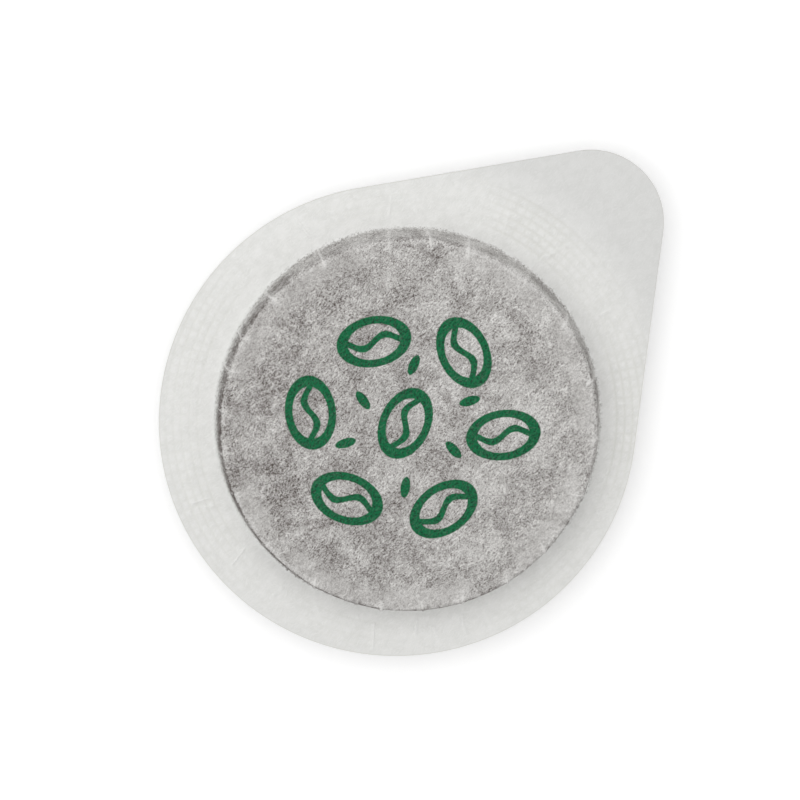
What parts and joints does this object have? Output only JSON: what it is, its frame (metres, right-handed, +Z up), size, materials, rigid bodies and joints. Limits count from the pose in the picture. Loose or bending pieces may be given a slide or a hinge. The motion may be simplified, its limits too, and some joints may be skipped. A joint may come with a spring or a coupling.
{
  "type": "paper coffee pod",
  "caption": "Round puck of ground coffee between two heat-sealed filter papers, with an embossed seal ring and a teardrop pull tab.",
  "frame": {"origin": "on the coffee puck's axis, in the flat lower face that the pod lies on", "axes": "+Z up through the puck towards the printed face, +X from the puck's axis towards the pull tab"},
  "size_m": [0.0686, 0.0557, 0.0094],
  "materials": {
    "filter_paper": "matte",
    "ground_coffee": "matte"
  },
  "bodies": {
    "root": {"upper_filter_paper": "filter_paper", "lower_filter_paper": "filter_paper", "coffee_puck": "ground_coffee"}
  },
  "joints": []
}
